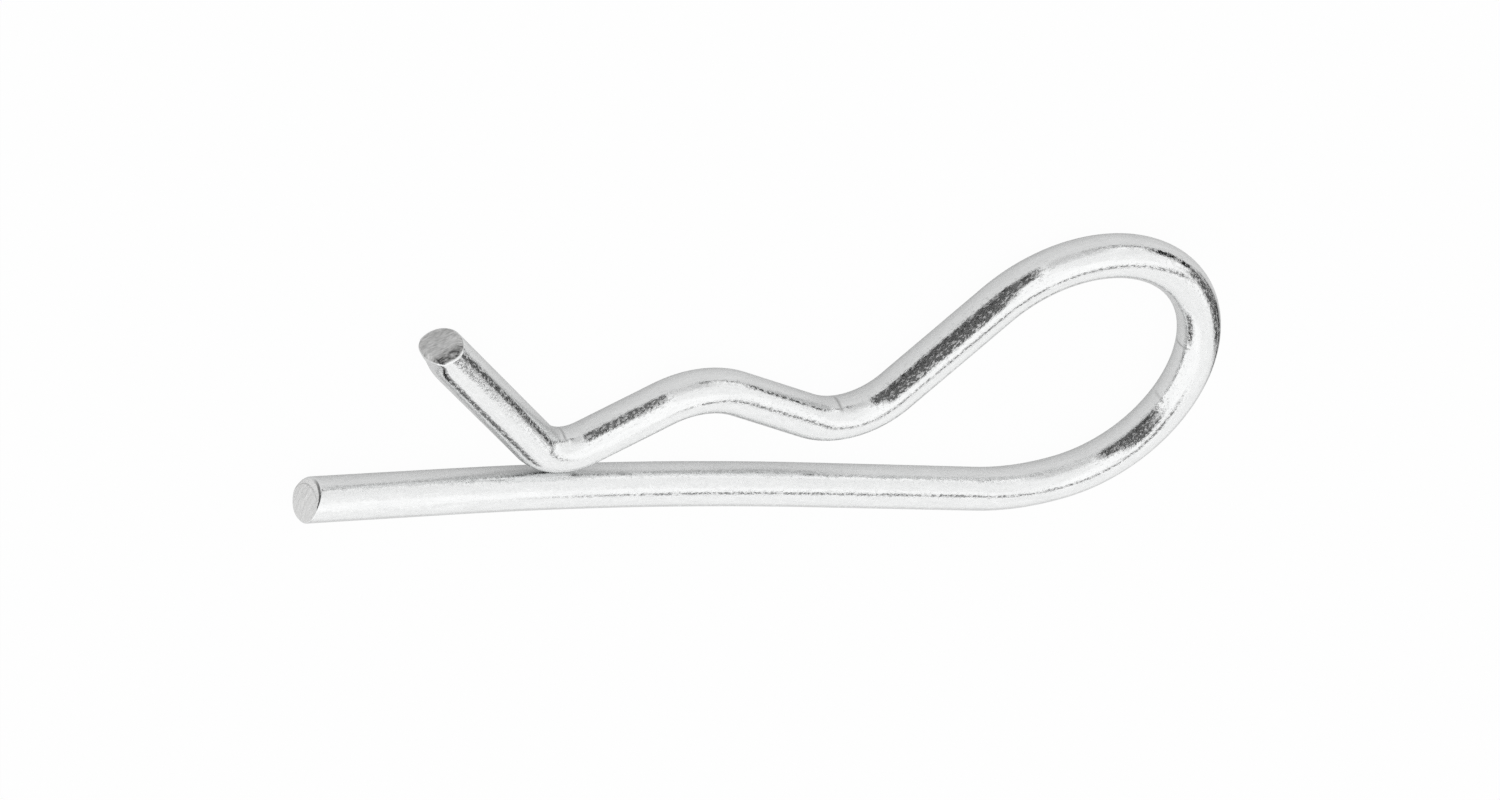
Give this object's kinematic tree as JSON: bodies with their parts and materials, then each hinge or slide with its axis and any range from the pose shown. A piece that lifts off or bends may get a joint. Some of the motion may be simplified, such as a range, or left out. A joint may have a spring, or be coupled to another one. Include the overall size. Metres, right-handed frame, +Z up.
{
  "type": "hitch pin r clip",
  "caption": "R-shaped spring clip of round wire with a straight leg, a round pull loop, an arch that hugs a hitch pin and a turned-out lead-in tip.",
  "frame": {"origin": "on the hitch pin's axis where it crosses the leg, level with the underside of the wire as the clip lies flat", "axes": "+X along the leg's free end towards the pull loop, +Y from the leg towards the arch, +Z up, along the hitch pin's axis"},
  "size_m": [0.0874, 0.0304, 0.004],
  "materials": {
    "wire": "bright zinc plated drawn wire"
  },
  "bodies": {
    "root": {"r_clip": "wire"}
  },
  "joints": []
}
